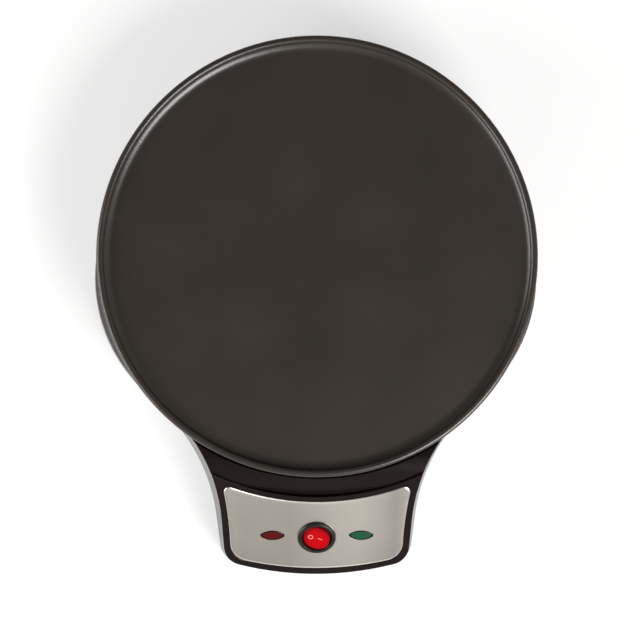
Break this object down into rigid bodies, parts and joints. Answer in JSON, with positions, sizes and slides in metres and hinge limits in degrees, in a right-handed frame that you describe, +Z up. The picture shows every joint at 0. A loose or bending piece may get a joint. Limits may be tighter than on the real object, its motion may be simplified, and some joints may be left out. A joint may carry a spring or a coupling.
{
  "type": "electric crepe maker",
  "caption": "Electric crepe maker: round cast hot plate on a moulded base, with a sloping metal control panel, a round rocker switch and two signal lamps.",
  "frame": {"origin": "middle of the footprint, on the table under the feet", "axes": "+Y runs to the back, where the cord goes in; the control console points to -Y; +Z is up through the cooking plate"},
  "size_m": [0.3254, 0.3896, 0.078],
  "materials": {
    "plate_nonstick": "non-stick coated casting, satin black",
    "housing_plastic": "moulded, semi-gloss brown-black",
    "cover_plastic": "moulded, fine grain",
    "foot_rubber": "matt",
    "screw_steel": "zinc plated",
    "panel_steel": "fine brushed stainless sheet",
    "spring_steel": "bright",
    "switch_plastic": "moulded, satin",
    "rocker_red": "translucent red, gloss",
    "brass": "stamped",
    "copper": "stamped copper alloy",
    "lens_red": "translucent dark red, gloss",
    "lens_green": "translucent green, gloss",
    "lamp_glass": "clear",
    "element_steel": "heat-darkened sheath",
    "clip_steel": "plain sheet",
    "reflector_sheet": "bright aluminised sheet",
    "mica": "mica",
    "cap_aluminium": "drawn",
    "bakelite": "moulded phenolic",
    "bimetal": "plain",
    "pin_ceramic": "plain",
    "fuse_case": "plain",
    "glass_fibre": "woven and varnished",
    "gland_rubber": "matt",
    "block_nylon": "moulded",
    "wire_brown": "insulated",
    "wire_black": "insulated",
    "wire_blue": "insulated",
    "wire_red": "insulated",
    "wire_green": "insulated",
    "wire_grey": "insulated"
  },
  "bodies": {
    "base": {"cooking_plate": "plate_nonstick", "upper_housing": "housing_plastic", "lower_cover": "cover_plastic", "rubber_feet": "foot_rubber", "housing_screws": "screw_steel", "control_panel": "panel_steel", "panel_nuts": "spring_steel", "switch_body": "switch_plastic", "switch_terminals": "brass", "power_lens": "lens_red", "ready_lens": "lens_green", "lens_clips": "spring_steel", "neon_lamps": "lamp_glass", "heating_element": "element_steel", "element_clips": "clip_steel", "clip_screws": "screw_steel", "heat_reflector": "reflector_sheet", "insulating_washers": "mica", "plate_screws": "screw_steel", "thermostat_cap": "cap_aluminium", "thermostat_body": "bakelite", "bimetal_disc": "bimetal", "thermostat_terminals": "brass", "thermostat_screws": "screw_steel", "thermal_fuse": "fuse_case", "fuse_sleeve": "glass_fibre", "fuse_strap": "clip_steel", "fuse_screw": "screw_steel", "earth_tag": "brass", "earth_screw": "screw_steel", "cord_gland": "gland_rubber", "cord_clamp": "cover_plastic", "clamp_screws": "screw_steel", "terminal_block": "block_nylon", "terminal_inserts": "brass", "terminal_screws": "screw_steel", "block_screws": "screw_steel", "wire_live": "wire_brown", "wire_switched": "wire_black", "wire_neutral": "wire_blue", "wire_element": "wire_red", "wire_earth": "wire_green", "wire_lamps": "wire_grey"},
    "rocker": {"switch_rocker": "rocker_red", "switch_plunger": "brass", "switch_spring": "spring_steel"},
    "contact_lever": {"switch_lever": "copper"},
    "trip_pin": {"thermostat_pin": "pin_ceramic"},
    "contact_arm": {"thermostat_arm": "copper"}
  },
  "joints": [
    {"name": "rocker_turn", "type": "hinge", "parent": "base", "child": "rocker", "pos_m": [0, -0.16336, 0.04282], "axis": [0, 0.848, 0.5299], "range_deg": [0, 22]},
    {"name": "contact_turn", "type": "hinge", "parent": "base", "child": "contact_lever", "pos_m": [0, -0.15732, 0.03316], "axis": [0, 0.848, 0.5299], "range_deg": [-12, 0]},
    {"name": "pin_slide", "type": "slide", "parent": "base", "child": "trip_pin", "axis": [0, 0, 1], "range_m": [-0.0006, 0], "stiffness_N_per_m": 50},
    {"name": "arm_turn", "type": "hinge", "parent": "base", "child": "contact_arm", "pos_m": [-0.005, 0.00685, 0.05713], "axis": [0, 1, 0], "range_deg": [0, 6.9]}
  ],
  "couplings": [
    {"joint": "contact_turn", "follows": "rocker_turn", "ratio": -0.54545},
    {"joint": "arm_turn", "follows": "pin_slide", "rad_per_m": -200}
  ]
}
